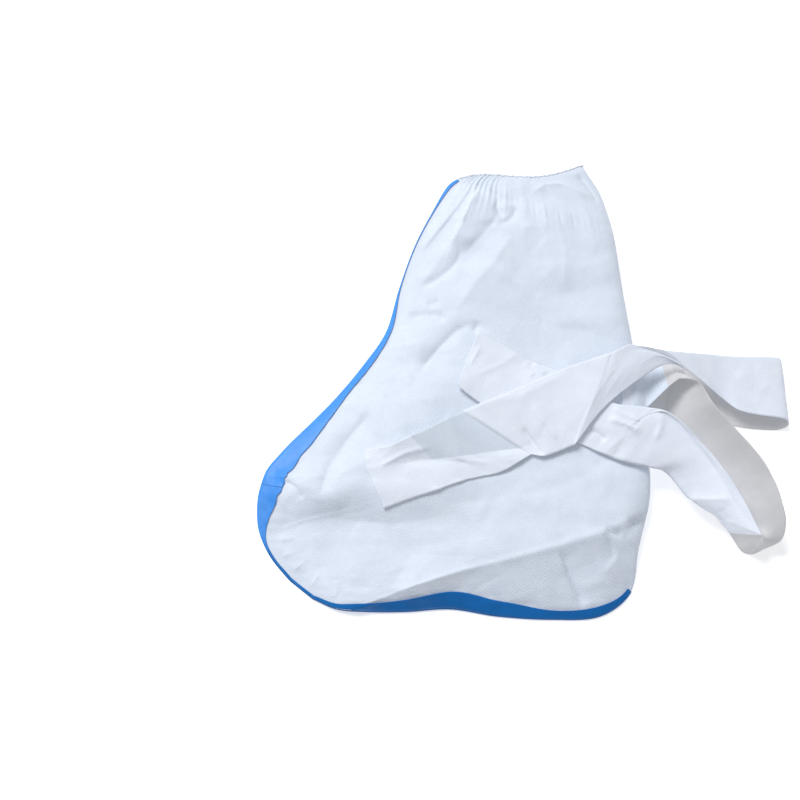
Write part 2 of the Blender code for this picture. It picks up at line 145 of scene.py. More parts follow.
# The facets run long across the leg and along the foot
FACET_STRETCH = np.array(((0.75, 0.30), (-0.55, 1.05)))
Gather = namedtuple("Gather", "count phase reach height middle spread")
GATHERS = (
    Gather(9, 0.3, 16, 1.0, 0.45, 0.50),
    Gather(27, 1.1, 16, 1.3, 0.28, 0.14),
    Gather(31, 2.0, 6, 0.45, 0.62, 0.30),
    Gather(47, 0.0, 4, 0.35, 0.50, 0.60),
)

# Sections of the flat boot from the leg opening to the toe, each from the shin seam to
# the back. Rise is the height of the soft body, dip how far the section sags towards the
# foot, shin tape and back tape how much of the tape shows on the upper side.
Section = namedtuple("Section", "name shin_x shin_y back_x back_y rise dip shin_tape back_tape edge")
SECTIONS = (
    Section("opening", -38, 271, 104.8, 283, 17, 18, 3, 0, "fold"),
    Section("hem line", -51, 260, 108.8, 273, 18, 17, 4, 0, "fold"),
    Section("upper calf", -67, 230, 122.4, 243, 20, 10, 1.2, 0, "fold"),
    Section("calf", -88.5, 184, 132, 194, 24, 2, 0.5, 0, "fold"),
    Section("mid leg", -106, 131, 135.6, 147, 26, 0, 1, 0, "fold"),
    Section("lower leg", -120, 79, 139.2, 95, 27, 0, 5, 0, "fold"),
    Section("above ankle", -143.2, 41, 144, 42, 28, 0, 7.6, 0, "fold"),
    Section("ankle", -172, 3, 147.2, -10, 29, 0, 8.5, 0, "fold"),
    Section("instep", -200, -28, 148.8, -55, 29, 0, 16, 0, "fold"),
    Section("heel top", -219.2, -48, 147.2, -108, 30, 0, 19.5, 0, "fold"),
    Section("heel back", -232.8, -64, 132, -162, 30, 0, 22, 0, "fold"),
    Section("heel tip", -240, -73, 122.4, -202, 30, 0, 22.5, 4, "seam"),
    Section("heel", -244.4, -81, 90, -226, 30, 0, 23, 8.2, "seam"),
    Section("waist back", -248, -93, 42, -229, 27.5, 0, 23, 7.6, "seam"),
    Section("waist", -250.4, -105, -10, -226, 23.5, 0, 20.5, 13.4, "seam"),
    Section("ball", -250.8, -120, -56, -219, 19.5, 0, 16.5, 14.4, "seam"),
    Section("ball front", -248.8, -138, -100, -221.5, 16, 0, 8.4, 9.3, "seam"),
    Section("toe", -242.4, -155, -140, -221.5, 12.5, 0, 3, 6.2, "seam"),
    Section("toe front", -232, -172, -168, -219, 9.5, 0, 2.4, 4, "seam"),
    Section("toe end", -215.2, -191, -192, -209, 6.5, 0, 2.4, 2.4, "seam"),
)
TAPES_MEET = "waist back"

# The long ridge over the sole, from the toe to the back of the heel, with its height
RIDGE = ((-134, -214, 11), (-106, -204, 16), (-77, -195, 20), (-44, -185, 24), (-8, -177, 27.5),
         (40, -165, 30), (90, -150, 31), (116, -138, 29), (142, -125, 25))
RIDGE_SPREAD = 34 * MM
RIDGE_CREST = 1.4 * MM
CREST_SPREAD = 3 * MM
CREST_EASE = 60 * MM
SOLE_BULGE = 0.85

# How far in from each edge the soft body takes to swell, and how round it swells
SHIN_REACH = 95 * MM
FOOT_REACH = 120 * MM
SHIN_ROUNDNESS = 1.9
SOLE_REACH = 26 * MM
BACK_REACH = 30 * MM
BACK_ROUNDNESS = 2.3
MIDDLE_SHARE = 0.38  # how high in the body the fold at the back lies

# The foot lies below this line, and its front rises evenly from the toe towards the heel
FOOT_Y, FOOT_EASE = -20 * MM, 60 * MM
FRONT_Y, FRONT_Y_EASE = -95 * MM, 50 * MM
FRONT_X, FRONT_X_EASE = 20 * MM, 90 * MM
TOE_X = -215 * MM
TOE_RISE = 7 * MM
FOOT_SLOPE = 0.10

# How far in from a seam each takes to come to its full height, and the puckers to fade
FOLD_EASE = 16 * MM
GATHER_EASE = 8 * MM
PUCKER_REACH = 14 * MM
UNDER_EASE = 12 * MM
MIDDLE_EASE = 25 * MM

TOE_LINE = ((-237, -148), (-227, -140), (-207, -133), (-187, -129), (-166, -125), (-146, -121),
            (-124, -114))

# Sharp creases. Each follows its points and stands up by rise, or lies in if rise is below
# zero. It eases off over left and right, as one walks from its first point to its last.
# Step lifts the left side over the right one.
FOLD_STRENGTH = 1.6
STEP_EASE = 1.2 * MM
Crease = namedtuple("Crease", "name points rise left right step")
CREASES = (
    Crease("flap edge", ((-84, 169), (-73, 184), (-62, 198), (-49, 215), (-38, 231), (-28, 248),
                         (-24, 262)), 1.7, 30, 5, 1.2),
    Crease("flap shade", ((-16, 251), (-28, 226), (-37, 202), (-51, 171)), 6, 38, 7, 0),
    Crease("patch foot", ((6, 228), (1, 208), (-18, 183), (-38, 160)), -2.6, 28, 13, 0),
    Crease("flap cross", ((-48, 212), (-33, 206)), 1.8, 7, 4, 0),
    Crease("pleat hook", ((24, 225), (23, 214), (14, 203), (2, 200)), -2.6, 5, 8, 0.8),
    Crease("pleat line", ((5, 239), (2, 222), (10, 208)), -2, 9, 4, 0),
    Crease("leg band", ((17, 183), (-3, 151), (-26, 123), (-47, 91)), 2.2, 17, 40, 0),
    Crease("shin hook", ((-40, 168), (-44, 155), (-56, 143), (-69, 134), (-87, 127)), -2.6, 5, 9, -1),
    Crease("shin nick", ((-97, 93), (-76, 93), (-63, 90), (-56, 82)), -2.2, 4, 7, 0.6),
    Crease("shin spot", ((-77, 104), (-63, 107)), -1.6, 6, 6, 0),
    Crease("ankle fold", ((-28, 78), (-47, 69), (-64, 51), (-78, 34), (-87, 20)), -2.8, 12, 9, 0.8),
    Crease("ankle tail", ((-23, 79), (-28, 66)), -2.4, 7, 7, 0),
    Crease("rib one", ((-107, 47), (-88, 24)), 0.7, 5, 2, 0),
    Crease("rib two", ((-110, 38), (-91, 14)), 0.8, 5, 2, 0),
    Crease("rib three", ((-112, 28), (-96, 5)), 0.7, 5, 2, 0),
    Crease("shin valley", ((-135, -18), (-162, -51), (-179, -81), (-187, -114)), -3.4, 22, 16, 0),
    Crease("toe line", ((-240, -156), *TOE_LINE), -1.7, 13, 18, 0),
    Crease("toe crest", TOE_LINE, 0.9, 2.5, 3, 0),
    Crease("seam fold", ((-224, -90), (-212, -98), (-203, -112)), -1.8, 5, 8, 0.8),
    Crease("heel hook", ((48, -166), (54, -176), (60, -190), (66, -203), (74, -219)), -2.8, 14, 1.8, 0),
    Crease("heel pinch", ((96, -145), (105, -148), (114, -148)), -2, 4, 5, 0.8),
    Crease("heel cross", ((100, -155), (104, -166), (107, -175)), -1, 2, 6, 0.6),
    Crease("heel facet", ((94, -187), (103, -178), (110, -166)), 1.1, 7, 8, 0),
    Crease("heel wing", ((118, -150), (126, -160), (129, -174)), 1.4, 9, 6, 0.6),
    Crease("back shade", ((119, -141), (140, -132)), -3.6, 6, 12, 0),
    Crease("rim arc", ((40, 239), (58, 252), (77, 252), (92, 243), (107, 234)), 1.5, 5, 9, 0),
    Crease("rim corner", ((96, 269), (108, 248), (118, 227)), -2, 6, 9, 0),
    Crease("leg plane one", ((-20, 150), (40, 110), (80, 60)), 1.6, 34, 20, 0),
    Crease("leg plane two", ((60, 235), (75, 170), (70, 110)), 1.6, 20, 40, 0),
    Crease("foot plane", ((-190, -128), (-110, -138), (-40, -128)), -1.2, 24, 48, 0),
    Crease("instep plane", ((-60, -120), (20, -110), (90, -90)), -1.4, 26, 26, 0),
    Crease("toe pucker one", ((-226, -150), (-212, -150)), 0.45, 3, 4, 0),
    Crease("toe pucker two", ((-226, -168), (-208, -162)), 0.45, 3, 4, 0),
    Crease("toe pucker three", ((-214, -184), (-200, -172)), 0.45, 4, 4, 0),
    Crease("toe pucker four", ((-196, -200), (-186, -186)), 0.45, 4, 4, 0),
    Crease("toe pucker five", ((-170, -210), (-166, -192)), 0.45, 4, 4, 0),
)

# The ties, as rungs across the strip from its sealed end to its free end: one edge, the middle
# and the other edge. A crisp rung is a pressed fold across the strip. Lies says how it is
# carried: below the boot, sealed to the cloth, free above what is under it, or resting on
# the cloth, where heights count from the cloth. Most rungs are soft and free.
Rung = namedtuple("Rung", "name near_edge middle far_edge crisp lies", defaults=(0, "free"))
EDGES = ("near_edge", "middle", "far_edge")
UPPER_TIE = (
    Rung("seal", (80, 54, 0.35), (78, 21, 0.35), (76, -12, 0.35), 0, "below"),
    Rung("seal edge", (115, 55, 0.35), (114, 22, 0.35), (113, -11, 0.35), 0, "below"),
    Rung("out", (150, 57, 0.6), (148, 21, 0.6), (146, -15, 0.6)),
    Rung("table", (183, 56, 1), (184, 20, 1), (185, -16, 1)),
    Rung("table run", (218, 51, 1), (217, 17, 1), (215, -20, 1)),
    Rung("far run", (252, 38, 1), (251, 4, 1), (250, -31, 1)),
    Rung("turn in", (288, 34, 1), (288, 1, 1), (287, -34, 1)),
    Rung("turn", (300, 38, 7), (300, 4, 7), (299, -31, 7)),
    Rung("turn out", (296, 43, 13), (295, 10, 13), (294, -26, 13)),
    Rung("return", (249, 43, 17), (247, 12, 17), (249, -19, 17)),
    Rung("return lifts", (211, 43, 25), (220, 19, 22), (230, -5, 18)),
    Rung("crest", (169, 39, 42), (187, 26, 37), (205, 12, 31), 1, "free"),
    Rung("over back edge", (146, 43, 45), (158, 35, 41), (174, 27, 36)),
    Rung("fan", (131, 45, 45), (134, 25, 42), (139, 8, 38)),
    Rung("fan out", (119, 39, 45), (108, 9, 42.5), (100, -24, 38.5)),
    Rung("ridge", (111, 36, 45), (90, -15, 43), (70, -61, 37), 1, "free"),
    Rung("bright face", (59, 19, 39), (52, -25, 38), (53, -68, 33)),
    Rung("bright face end", (7, -3, 36), (28, -49, 35), (39, -72, 33.5)),
    Rung("slanting fold", (-42, -24, 8), (14, -62, 3), (26, -70, 3.4), 1, "rests"),
    Rung("shaded face", (-66, -37, 12), (-44, -72, 2), (-2, -87, 2.4), 0, "rests"),
    Rung("pinch", (-88, -49, 13), (-62, -74, 1.5), (-25, -93, 1.8), 1, "rests"),
    Rung("after pinch", (-96, -52, 12.5), (-74, -75, 1.6), (-38, -96, 2.4), 1, "rests"),
    Rung("pleat", (-108, -58, 10.5), (-90, -77, 1.5), (-61, -104, 1.8), 1, "rests"),
    Rung("tongue", (-118, -62, 8), (-106, -79, 1.8), (-68, -107, 2.6), 1, "rests"),
    Rung("end", (-142, -62, 1.5), (-140, -83, 1.6), (-122, -124, 1.8), 0, "rests"),
)
UNDER_TIE = (
    Rung("seal", (82, -38, 0), (80, -6, 0), (78, 26, 0), 0, "sealed"),
    Rung("seal edge", (110, -35, 0), (109, -3, 0), (108, 29, 0), 0, "sealed"),
    Rung("round edge", (134, -29, 1.5), (133, 4, 1.5), (132, 36, 1.5), 0, "rests"),
    Rung("out", (150, -16, 22), (150, 14, 19), (151, 45, 13)),
    Rung("lift", (160, -7, 27), (160, 21, 19), (162, 50, 7)),
    Rung("arch", (171, 3, 31), (171, 27, 18), (174, 53, 4)),
    Rung("arch top", (182, 11, 34), (182, 32, 18), (184, 52, 3), 1, "free"),
    Rung("turn", (192, 9, 38), (192, 24, 20), (192, 41, 2)),
    Rung("side", (200, 3, 42), (194, 10, 22), (184, 20, 2)),
    Rung("side runs", (205, -9, 46), (192, -5, 24), (177, -1, 2)),
    Rung("side bends", (211, -23, 48), (194, -24, 25), (174, -25, 2)),
    Rung("side middle", (229, -46, 48), (211, -50, 25), (189, -54, 2)),
    Rung("side lower", (250, -75, 47), (230, -79, 24), (207, -82, 2)),
    Rung("side low", (262, -100, 46), (243, -107, 24), (222, -111, 2)),
    Rung("side end", (268, -125, 44), (251, -129, 24), (234, -130, 3)),
    Rung("bend", (271, -140, 38), (257, -142, 24), (241, -140, 10)),
    Rung("bend low", (270, -155, 22), (257, -152, 23), (244, -147, 24)),
    Rung("corner", (257, -161, 4), (251, -158, 24), (244, -155, 45), 1, "free"),
    Rung("wall", (247, -165, 2), (246, -160, 24), (244, -156, 46)),
    Rung("wall runs", (236, -161, 2), (240, -158, 24), (243, -156, 47)),
    Rung("wall end", (226, -143, 3), (235, -150, 25), (243, -156, 48)),
    Rung("fold", (208, -131, 20), (233, -150, 42), (242, -156, 48), 1, "free"),
    Rung("top", (184, -114, 22), (219, -112, 38), (230, -121, 45)),
    Rung("top runs", (164, -88, 24), (208, -85, 36), (216, -90, 42)),
    Rung("top middle", (145, -83, 30), (192, -60, 35), (200, -64, 39)),
    Rung("top upper", (119, -78, 33), (160, -26, 37), (169, -29, 40)),
    Rung("over edge", (95, -68, 33), (118, -45, 36), (143, -21, 37)),
    Rung("over heel", (73, -58, 32), (91, -37, 34), (109, -15, 35)),
    Rung("crossing", (21, -44, 1.4), (43, -14, 3), (67, 16, 3), 0, "rests"),
    Rung("past crossing", (-24, -15, 3.5), (3, 9, 2), (29, 35, 3), 0, "rests"),
    Rung("near end", (-38, -5, 5), (-20, 22, 2), (5, 50, 3), 1, "rests"),
    Rung("end", (-47, 3, 6), (-36, 36, 2), (-23, 67, 5), 0, "rests"),
)

# The stretches between two rungs where a tie is greyer, as painted shade: darkest where it lies deep in
# shade, lighter where a single layer of it lies in shade. They take its whole width, or its half by the
# near edge.
PLAIN, IN_DEEP_SHADE, IN_SHADE = 0, 1, 2
Stretch = namedtuple("Stretch", "from_rung to_rung width material")
UPPER_GREY = (
    Stretch("out", "turn", "whole", IN_DEEP_SHADE),
    Stretch("slanting fold", "after pinch", "half", IN_SHADE),
)
UNDER_GREY = (
    Stretch("round edge", "arch", "whole", IN_SHADE),
    Stretch("arch", "wall end", "whole", IN_DEEP_SHADE),
)

# Pressed folds and pleats of the ties, read as the creases above
UPPER_FOLDS = (
    Crease("lap", ((-42, -24), (-8, -47), (26, -70)), 0, 9, 6, 1.8),
    Crease("pleat", ((-79, -83), (-73, -95), (-65, -106)), -1.6, 7, 3, -1),
    Crease("pinch", ((-50, -77), (-44, -91), (-38, -99)), -1.6, 7, 3, -1),
    Crease("wedge", ((19, -41), (29, -57), (39, -71)), -2, 4, 7, 0.6),
    Crease("streak", ((26, -20), (54, -57)), 0.9, 14, 5, 0),
    Crease("long plane", ((-35, -18), (17, -8), (69, 17)), 0.8, 6, 14, 0),
    Crease("tongue edge", ((-128, -83), (-101, -70), (-75, -64)), 1.6, 6, 8, 0.8),
    Crease("far soft", ((247, 26), (281, 3)), 0.7, 16, 16, 0),
    Crease("end plane", ((-132, -100), (-98, -96)), 0.6, 9, 9, 0),
)
UNDER_FOLDS = (
    Crease("pleat one", ((23, 31), (29, 20), (32, 13)), 1.4, 4, 3, 0.5),
    Crease("pleat two", ((33, 31), (39, 22), (45, 15)), 1.4, 4, 3, 0.5),
    Crease("end fold one", ((-46, 41), (-35, 55), (-26, 66)), 1.6, 8, 5, 0),
    Crease("end fold two", ((-33, 27), (-22, 49)), 1, 7, 5, 0),
    Crease("end plane", ((-30, 14), (2, 30), (20, 44)), 0.8, 12, 8, 0),
    Crease("dark pleat", ((84, -42), (94, -47), (103, -56)), -1.8, 4, 7, 0),
    Crease("bright pleat", ((105, -34), (122, -40), (138, -50)), 1.8, 8, 4, 0.4),
    Crease("slant", ((110, -21), (119, -29), (137, -36)), 1, 6, 4, 0),
    Crease("upright", ((157, -29), (158, -40), (152, -56)), 1.8, 7, 5, 0),
    Crease("low plane", ((158, -84), (171, -97), (185, -116)), -1.2, 9, 9, 0),
    Crease("cross plane", ((181, -114), (202, -116), (221, -118)), 1.4, 8, 8, 0),
    Crease("tip crumple", ((210, -125), (215, -133), (220, -138)), -1.4, 4, 5, 0),
)


# Numbers and curves

def smooth(value):
    """Ease from 0 to 1 as value goes from 0 to 1."""
    value = np.clip(value, 0.0, 1.0)
    return value * value * (3 - 2 * value)


def mix(a, b, share):
    return a + (b - a) * share


def past(values, start, ease):
    """Ease from 0 to 1 as values go down from start, over the length of ease."""
    return smooth((start - values) / ease)


def fade(along, length, share, least=0.0):
    """Ease in at the start of a line and out at its end, each over a share of its length."""
    ease = share * length
    return smooth(along / ease + least) * smooth((length - along) / ease + least)


def direction(angle):
    return np.array((math.cos(angle), math.sin(angle)))


def spline(values, positions):
    """A smooth curve through values, read at positions counted in values."""
    values = np.asarray(values, float)
    positions = np.asarray(positions, float)
    last = len(values) - 1
    i = np.clip(positions.astype(int), 0, last - 1)
    t = positions - i
    padded = np.concatenate(([2 * values[0] - values[1]], values, [2 * values[-1] - values[-2]]))
    a, b, c, d = padded[i], padded[i + 1], padded[i + 2], padded[i + 3]
    return 0.5 * (2 * b + (c - a) * t + (2 * a - 5 * b + 4 * c - d) * t ** 2
                  + (3 * b - a - 3 * c + d) * t ** 3)


def nearest(points, line):
    """Distance of points from a line in plan, their side, how far along, and its length."""
    best = np.full(len(points), np.inf)
    side = np.ones(len(points))
    along = np.zeros(len(points))
    walked = 0.0
    for start, end in zip(line[:-1], line[1:]):
        run = end - start
        length = np.hypot(*run)
        offset = points - start
        share = np.clip(offset @ run / length ** 2, 0.0, 1.0)
        gap = offset - share[:, None] * run
        distance = np.hypot(gap[:, 0], gap[:, 1])
        closer = distance < best
        cross = run[0] * offset[:, 1] - run[1] * offset[:, 0]
        best = np.where(closer, distance, best)
        side = np.where(closer, np.sign(cross), side)
        along = np.where(closer, walked + share * length, along)
        walked += length
    return best, side, along, walked


def waves(points, rng, kind, level=0):
    """Gentle unevenness round a level, from crossing waves of one kind."""
    total = np.zeros(len(points))
    for _ in range(kind.count):
        length = rng.uniform(kind.shortest * MM, kind.longest * MM)
        angle = rng.uniform(0, 2 * math.pi)
        phase = rng.uniform(0, 2 * math.pi)
        total += np.sin(points @ (direction(angle) * 2 * math.pi / length) + phase)
    return kind.height * MM * (level + total / math.sqrt(kind.count))


def drop(tree, x, y):
    """Height of the surface under a place, or the table where there is none."""
    hit = tree.ray_cast(Vector((x, y, ABOVE_ALL)), Vector((0.0, 0.0, -1.0)))
    return hit[0].z if hit[0] else 0.0


def facets(points, rng, kind):
    """Flat facets with crisp edges between scattered places, as in crumpled cloth."""
    spacing, height = kind.spacing * MM, kind.height * MM
    low, high = points.min(axis=0) - 2 * spacing, points.max(axis=0) + 2 * spacing
    xs, ys = (np.arange(a, b, spacing) for a, b in zip(low, high))
    places = np.stack(np.meshgrid(xs, ys), axis=2).reshape(-1, 2)
    places = places + rng.uniform(-SCATTER, SCATTER, places.shape) * spacing
    heights = rng.normal(0, height, len(places)).clip(-2 * height, 2 * height)
    places, _, corners, *_ = delaunay_2d_cdt([Vector(p) for p in places], [], [], 0, 1e-7)
    surface = [Vector((p.x, p.y, z)) for p, z in zip(places, heights)]
    tree = BVHTree.FromPolygons(surface, corners)
    return np.array([drop(tree, x, y) for x, y in points])


# The flat shape of the boot

class Outline:
    def __init__(self):
        steps = (len(SECTIONS) - 1) * STEPS_PER_SECTION
        self.positions = np.arange(steps + 1) / STEPS_PER_SECTION
        self.shin = np.stack([self.column("shin_x"), self.column("shin_y")], axis=1) * MM
        self.back = np.stack([self.column("back_x"), self.column("back_y")], axis=1) * MM
        self.rise = self.column("rise") * MM
        self.dip = self.column("dip") * MM
        first_seam = next(i for i, row in enumerate(SECTIONS) if row.edge == "seam")
        heel = first_seam * STEPS_PER_SECTION
        self.meet = [row.name for row in SECTIONS].index(TAPES_MEET) * STEPS_PER_SECTION
        sole_seam = self.back[:heel - 1:-1]
        toe_tip = mix(self.shin[-1], self.back[-1], (np.arange(1, TIP_STEPS) / TIP_STEPS)[:, None])
        self.sole = np.concatenate((toe_tip, sole_seam))
        self.seam = np.concatenate((self.shin, self.sole))
        self.fold = self.back[:heel + 1]
        leg = (self.shin[0] - self.shin[STEPS_PER_SECTION] + self.back[0]
               - self.back[STEPS_PER_SECTION])
        self.leg = leg / np.hypot(*leg)
        shin_tape = self.column("shin_tape")
        back_tape = self.column("back_tape")[heel:]
        tip = np.full(TIP_STEPS - 1, shin_tape[-1])
        self.tape_shown = np.concatenate((shin_tape, tip, back_tape[::-1])) * MM

    def column(self, name):
        return spline([getattr(row, name) for row in SECTIONS], self.positions)

    def grid(self):
        """Plan points of every section and column, and their share across."""
        even = np.linspace(0.0, 1.0, COLUMNS)
        eased = 0.5 - 0.5 * np.cos(math.pi * even)
        share = mix(even, eased, CROWDING)
        points = mix(self.shin[:, None, :], self.back[:, None, :], share[None, :, None])
        sag = self.dip[:, None] * sag_shape(share)
        return points - self.leg * sag[..., None], share


def sag_shape(share):
    """How a section sags across: a little up near the shin, and most towards the back."""
    return 4 * share * (1 - share) * (1.9 * share - 0.22)


def crease_height(points, crease):
    """What a crease of the tables adds to the heights of points."""
    distance, side, along, length = nearest(points, np.array(crease.points, float) * MM)
    reach = np.where(side > 0, crease.left, crease.right) * MM
    fall = np.exp(-distance / reach * 1.6) * fade(along, length, 0.25, least=0.15)
    step = 0.5 * crease.step * np.tanh(side * distance / STEP_EASE)
    return FOLD_STRENGTH * (crease.rise + step) * MM * fall


def add_crease(total, points, centre, line, reach, rise, sides):
    """Add a faint crease along a line to the heights of the points within reach of its centre."""
    near = np.abs(points - centre).max(axis=1) < reach
    distance, side, along, length = nearest(points[near], np.array(line))
    total[near] += rise * np.exp(-distance / np.where(side > 0, *sides)) * fade(along, length, 0.4)


def body_creases(points, rng):
    """Many faint sharp creases, as thin bonded cloth takes when it is handled."""
    total = np.zeros(len(points))
    low, high = points.min(axis=0), points.max(axis=0)
    for _ in range(BODY_CREASES):
        centre = rng.uniform(low, high)
        angle = rng.normal(0.45, 0.7) + (math.pi / 2 if rng.random() < 0.3 else 0)
        half = rng.uniform(8, 46) * MM
        bend = rng.normal(0, 0.35)
        line = (centre - half * direction(angle), centre, centre + half * direction(angle + bend))
        rise = rng.choice((-1, 1)) * rng.uniform(0.2, 0.9) * MM
        sides = rng.permutation((rng.uniform(2, 5), rng.uniform(8, 22))) * MM
        add_crease(total, points, centre, line, half + 60 * MM, rise, sides)
    return total


def tie_creases(points, rng, length):
    """Crisp handling creases over the flat strip, mostly across it."""
    total = np.zeros(len(points))
    for _ in range(TIE_CREASES):
        centre = np.array((rng.uniform(0, length), rng.uniform(-0.5, 0.5) * TIE_WIDTH))
        angle = rng.normal(1.1, 0.5)
        half = rng.uniform(5, 22) * MM
        line = (centre - half * direction(angle), centre + half * direction(angle))
        sides = rng.uniform(2, 9, 2) * MM
        rise = rng.choice((-1, 1)) * rng.uniform(0.1, 0.45) * MM
        add_crease(total, points, centre, line, half + 30 * MM, rise, sides)
    return total + waves(points, rng, TIE_WAVES)


def gathers(share, from_rim):
    """Pleats that run down from the elastic, close together in the middle of the rim."""
    total = np.zeros(len(share))
    for row in GATHERS:
        wave = 1 - 2 * np.abs(np.sin(math.pi * row.count * share + row.phase))
        window = np.exp(-((share - row.middle) / row.spread) ** 2)
        total += row.height * MM * wave * window * np.exp(-from_rim / (row.reach * MM))
    return total


def with_ridge(points, top, sole_gap):
    """The top with the long ridge, from which the sole's face runs down."""
    ridge = np.array([(x, y) for x, y, _ in RIDGE], float) * MM
    gap, side, along, _ = nearest(points, ridge)
    stops = np.concatenate(([0], np.cumsum(np.hypot(*np.diff(ridge, axis=0).T))))
    height = np.interp(along, stops, [z * MM for _, _, z in RIDGE])
    upper_side = mix(top, height, np.exp(-gap / RIDGE_SPREAD))
    share_down = sole_gap / np.maximum(gap + sole_gap, 1e-6)
    sole_face = mix(SEAM_HEIGHT, height, share_down ** SOLE_BULGE)
    crest = RIDGE_CREST * np.exp(-gap / CREST_SPREAD) * smooth(along / CREST_EASE)
    return np.where(side > 0, upper_side, sole_face) + crest


def body_heights(outline):
    """The upper and the lower side of the body over the whole flat shape."""
    grid, share = outline.grid()
    rows, columns = grid.shape[:2]
    points = grid.reshape(-1, 2)
    shares = np.tile(share, rows)
    rise = np.repeat(outline.rise, columns)
    rng = np.random.default_rng(BODY_SEED)

    shin_gap, sole_gap, back_gap = (
        nearest(points, line)[0] for line in (outline.shin, outline.sole, outline.fold))
    seam_gap = np.minimum(shin_gap, sole_gap)
    from_rim = np.abs((outline.shin[0] - points) @ outline.leg - outline.dip[0] * sag_shape(shares))

    shin_reach = mix(SHIN_REACH, FOOT_REACH, past(points[:, 1], FOOT_Y, FOOT_EASE))
    shin_side = 1 - (1 - np.clip(shin_gap / shin_reach, 0, 1)) ** SHIN_ROUNDNESS
    sole_side = np.sqrt(1 - (1 - np.clip(sole_gap / SOLE_REACH, 0, 1)) ** 2)
    swell = shin_side * sole_side
    even_rise = TOE_RISE + FOOT_SLOPE * (points[:, 0] - TOE_X)
    in_front = past(points[:, 1], FRONT_Y, FRONT_Y_EASE) * past(points[:, 0], FRONT_X, FRONT_X_EASE)
    top = mix(mix(SEAM_HEIGHT, rise, swell), mix(SEAM_HEIGHT, even_rise, swell), in_front)
    top = with_ridge(points, top, sole_gap)

    details = sum(crease_height(points, crease) for crease in CREASES)
    details += body_creases(points, rng)
    stretched = points @ FACET_STRETCH
    details += facets(stretched, rng, BROAD_FACETS) + facets(stretched, rng, FINE_FACETS)
    details += waves(points, rng, BROAD_WAVES)
    details += waves(points, rng, FINE_WAVES)
    edge = smooth(seam_gap / FOLD_EASE)
    top += details * edge
    top += gathers(shares, from_rim) * smooth(shin_gap / GATHER_EASE)

    bottom = np.maximum(TABLE_CLEARANCE + waves(points, rng, UNDER_WAVES, level=1), TABLE_CLEARANCE)
    bottom = mix(SEAM_HEIGHT - CLOTH_WALL, bottom, smooth(seam_gap / UNDER_EASE))
    top += waves(points, rng, SEAM_PUCKERS) * (np.exp(-seam_gap / PUCKER_REACH) * edge)

    flatness = 1 - np.clip(back_gap / BACK_REACH, 0, 1)
    round_over = (1 - flatness ** BACK_ROUNDNESS) ** (1 / BACK_ROUNDNESS)
    crown = np.maximum(top, SEAM_HEIGHT)
    middle = mix(SEAM_HEIGHT, MIDDLE_SHARE * crown, smooth(seam_gap / MIDDLE_EASE))
    top = mix(middle, top, round_over)
    bottom = mix(middle, bottom, round_over)
    top = np.maximum(top, bottom + LEAST_THICKNESS)
    return grid, top.reshape(rows, columns), bottom.reshape(rows, columns)


# Meshes

def add_piece(name, vertices, faces, material):
    mesh = bpy.data.meshes.new(name)
    mesh.from_pydata(np.asarray(vertices).tolist(), [], faces)
    mesh.update()
    mesh.shade_smooth()
    mesh.materials.append(material)
    piece = bpy.data.objects.new(name, mesh)
    bpy.context.scene.collection.objects.link(piece)
    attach(piece, "root")
    return piece


def add_wall(piece, thickness):
    """Give a sheet its thickness, half of it to each side."""
    wall = piece.modifiers.new("wall", "SOLIDIFY")
    wall.thickness = thickness
    wall.offset = 0.0
    wall.use_even_offset = False


def sheet_faces(rows, columns):
    faces = []
    for i in range(rows - 1):
        for k in range(columns - 1):
            a, b = i * columns + k, (i + 1) * columns + k
            faces.append((a, b, b + 1, a + 1))
    return faces


def tube_faces(rings, size, first=0, inward=False):
    """Faces between closed rings of points that follow each other."""
    faces = []
    for i in range(rings - 1):
        for k in range(size):
            n = (k + 1) % size
            a, b = first + i * size, first + (i + 1) * size
            face = (a + k, b + k, b + n, a + n)
            faces.append(face[::-1] if inward else face)
    return faces


def strip_cap(first, size):
    """Faces that close the last flat ring, whose second half lies under its first."""
    faces = []
    for k in range(size // 2 - 1):
        under, next_under = size - 1 - k, size - 2 - k
        faces.append((first + k + 1, first + k, first + under, first + next_under))
    return faces


def rim_faces(size, inner_columns, first, inner_size):
    """The edge of the cloth at the leg opening, between the outer and the inner skin."""
    outer_of = inner_columns + [size - 1 - c for c in reversed(inner_columns)]
    faces = []
    for k in range(inner_size):
        n = (k + 1) % inner_size
        here, there = outer_of[k], outer_of[n]
        if n == 0:
            there += size
        stops = [s % size for s in range(here, there + 1)]
        half = len(stops) // 2
        for a, b in zip(stops[:half + 1], stops[1:half + 1]):
            faces.append((a, b, first + k))
        faces.append((stops[half], first + n, first + k))
        for a, b in zip(stops[half:], stops[half + 1:]):
            faces.append((a, b, first + n))
    return faces


def spread(values, reach, pick):
    """The lowest or highest of the neighbours of each grid value."""
    for axis in (0, 1):
        shifted = [np.roll(values, k, axis=axis) for k in range(-reach, reach + 1)]
        values = pick(np.stack(shifted), axis=0)
    return values


def rings_between(grid, upper, lower):
    """A ring round the body at every section: over the upper side and back below."""
    return np.concatenate((np.dstack((grid, upper)), np.dstack((grid, lower))[:, ::-1]), axis=1)


